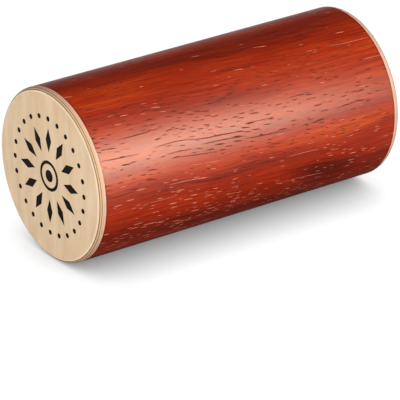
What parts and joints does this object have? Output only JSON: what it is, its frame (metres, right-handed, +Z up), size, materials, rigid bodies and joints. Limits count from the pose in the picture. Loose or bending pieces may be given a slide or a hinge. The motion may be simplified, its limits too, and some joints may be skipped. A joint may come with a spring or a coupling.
{
  "type": "percussion shaker",
  "caption": "Cylindrical percussion shaker: a red-veneered wooden tube closed by two rounded plywood discs, with loose steel shot that slides along its chamber.",
  "frame": {"origin": "on the surface under the middle of the tube, which lies on its side", "axes": "+X along the tube from the front disc to the rear disc, +Z up"},
  "size_m": [0.13, 0.063, 0.063],
  "materials": {
    "padouk": "satin lacquer",
    "beech": "raw",
    "birch": "satin lacquer",
    "birch_end_grain": "satin lacquer",
    "ply_glue": "cured glue",
    "shot_steel": "polished"
  },
  "bodies": {
    "shell": {"padouk_veneer": "padouk", "tube_cross_ply": "beech", "tube_liner": "birch", "front_face_veneer": "birch", "front_outer_crossband": "birch_end_grain", "front_core_ply": "birch", "front_inner_crossband": "birch_end_grain", "front_back_veneer": "birch", "front_glue_films": "ply_glue", "rear_face_veneer": "birch", "rear_outer_crossband": "birch_end_grain", "rear_core_ply": "birch", "rear_inner_crossband": "birch_end_grain", "rear_back_veneer": "birch", "rear_glue_films": "ply_glue"},
    "shot_row_01": {"shot_row_01": "shot_steel"},
    "shot_row_02": {"shot_row_02": "shot_steel"},
    "shot_row_03": {"shot_row_03": "shot_steel"},
    "shot_row_04": {"shot_row_04": "shot_steel"},
    "shot_row_05": {"shot_row_05": "shot_steel"},
    "shot_row_06": {"shot_row_06": "shot_steel"},
    "shot_row_07": {"shot_row_07": "shot_steel"},
    "shot_row_08": {"shot_row_08": "shot_steel"},
    "shot_row_09": {"shot_row_09": "shot_steel"},
    "shot_row_10": {"shot_row_10": "shot_steel"},
    "shot_row_11": {"shot_row_11": "shot_steel"},
    "shot_arc_front": {"shot_arc_front": "shot_steel"},
    "shot_arc_rear": {"shot_arc_rear": "shot_steel"}
  },
  "joints": [
    {"name": "shot_row_01_slide", "type": "slide", "parent": "shell", "child": "shot_row_01", "axis": [1, 0, 0], "range_m": [-0.0404, 0.025]},
    {"name": "shot_row_02_slide", "type": "slide", "parent": "shell", "child": "shot_row_02", "axis": [1, 0, 0], "range_m": [-0.0209, 0.0445]},
    {"name": "shot_row_03_slide", "type": "slide", "parent": "shell", "child": "shot_row_03", "axis": [1, 0, 0], "range_m": [-0.0431, 0.0223]},
    {"name": "shot_row_04_slide", "type": "slide", "parent": "shell", "child": "shot_row_04", "axis": [1, 0, 0], "range_m": [-0.0286, 0.0368]},
    {"name": "shot_row_05_slide", "type": "slide", "parent": "shell", "child": "shot_row_05", "axis": [1, 0, 0], "range_m": [-0.0286, 0.0368]},
    {"name": "shot_row_06_slide", "type": "slide", "parent": "shell", "child": "shot_row_06", "axis": [1, 0, 0], "range_m": [-0.0431, 0.0223]},
    {"name": "shot_row_07_slide", "type": "slide", "parent": "shell", "child": "shot_row_07", "axis": [1, 0, 0], "range_m": [-0.0209, 0.0445]},
    {"name": "shot_row_08_slide", "type": "slide", "parent": "shell", "child": "shot_row_08", "axis": [1, 0, 0], "range_m": [-0.0404, 0.025]},
    {"name": "shot_row_09_slide", "type": "slide", "parent": "shell", "child": "shot_row_09", "axis": [1, 0, 0], "range_m": [-0.0327, 0.0327]},
    {"name": "shot_row_10_slide", "type": "slide", "parent": "shell", "child": "shot_row_10", "axis": [1, 0, 0], "range_m": [-0.025, 0.0404]},
    {"name": "shot_row_11_slide", "type": "slide", "parent": "shell", "child": "shot_row_11", "axis": [1, 0, 0], "range_m": [-0.0445, 0.0209]},
    {"name": "shot_arc_front_swirl", "type": "hinge", "parent": "shell", "child": "shot_arc_front", "pos_m": [-0.06045, 0, 0.0315], "axis": [1, 0, 0], "continuous": true},
    {"name": "shot_arc_rear_swirl", "type": "hinge", "parent": "shell", "child": "shot_arc_rear", "pos_m": [0.06045, 0, 0.0315], "axis": [1, 0, 0], "continuous": true}
  ]
}
